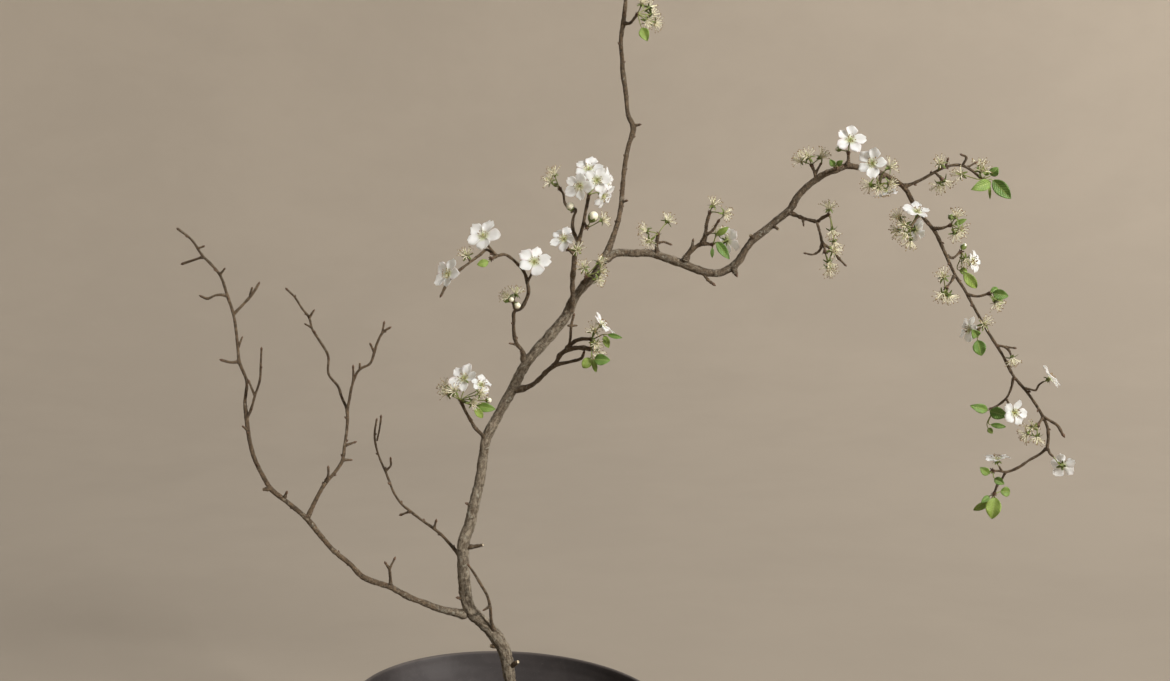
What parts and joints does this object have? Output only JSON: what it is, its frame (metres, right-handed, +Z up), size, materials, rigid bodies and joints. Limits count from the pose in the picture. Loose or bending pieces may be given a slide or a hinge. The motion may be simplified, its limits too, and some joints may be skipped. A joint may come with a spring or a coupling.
{
  "type": "ikebana arrangement",
  "caption": "Flowering fruit-tree branch with blossoms, spent flowers and young leaves, standing on a pin holder in a wide dark bowl of water.",
  "frame": {"origin": "centre of the bowl's foot, on the surface that it stands on", "axes": "+Z up; -Y toward the viewer that the arrangement faces; the long limb arches out toward +X"},
  "size_m": [0.7483, 0.2982, 0.793],
  "materials": {
    "stoneware": "matte charcoal",
    "water": "clear and still",
    "pin_holder_metal": "dull grey",
    "bark": "rough grey-brown bark with pale lichen",
    "foliage": "satin young green, cream at the stamens",
    "petal": "soft white"
  },
  "bodies": {
    "root": {"bowl": "stoneware", "water": "water", "pin_holder": "pin_holder_metal", "branch": "bark", "bloom_arm_first": "petal", "bloom_arm_second": "petal", "bloom_arm_third": "petal", "bloom_crown_1": "petal", "bloom_crown_2": "petal", "bloom_crown_3": "petal", "bloom_crown_4": "petal", "bloom_crown_5": "petal", "bloom_fall_a_1": "petal", "bloom_fall_a_2": "petal", "bloom_fall_c_1": "petal", "bloom_fall_f_1": "petal", "bloom_fall_side": "petal", "bloom_fall_twig": "petal", "bloom_fifth_1": "petal", "bloom_fifth_2": "petal", "bloom_fourth_1": "petal", "bloom_left_1": "petal", "bloom_left_2": "petal", "bloom_right_1": "petal", "bloom_second_low_1": "petal", "bloom_shoot_1": "petal", "bloom_tip_left": "petal", "bloom_tip_right": "petal", "spray_arch_leaf": "foliage", "spray_arm_knee": "foliage", "spray_arm_leaf": "foliage", "spray_crown": "foliage", "spray_crown_low": "foliage", "spray_crown_side": "foliage", "spray_fall_a": "foliage", "spray_fall_b": "foliage", "spray_fall_c": "foliage", "spray_fall_d": "foliage", "spray_fall_e": "foliage", "spray_fall_end": "foliage", "spray_fall_f": "foliage", "spray_fall_twig": "foliage", "spray_fifth": "foliage", "spray_first": "foliage", "spray_fourth": "foliage", "spray_hanging": "foliage", "spray_hanging_low": "foliage", "spray_leader": "foliage", "spray_left": "foliage", "spray_reach": "foliage", "spray_reach_drop": "foliage", "spray_right": "foliage", "spray_second": "foliage", "spray_second_low": "foliage", "spray_shoot": "foliage", "spray_third": "foliage", "spray_tip": "foliage", "spray_tip_low": "foliage", "spray_trunk": "foliage"}
  },
  "joints": []
}
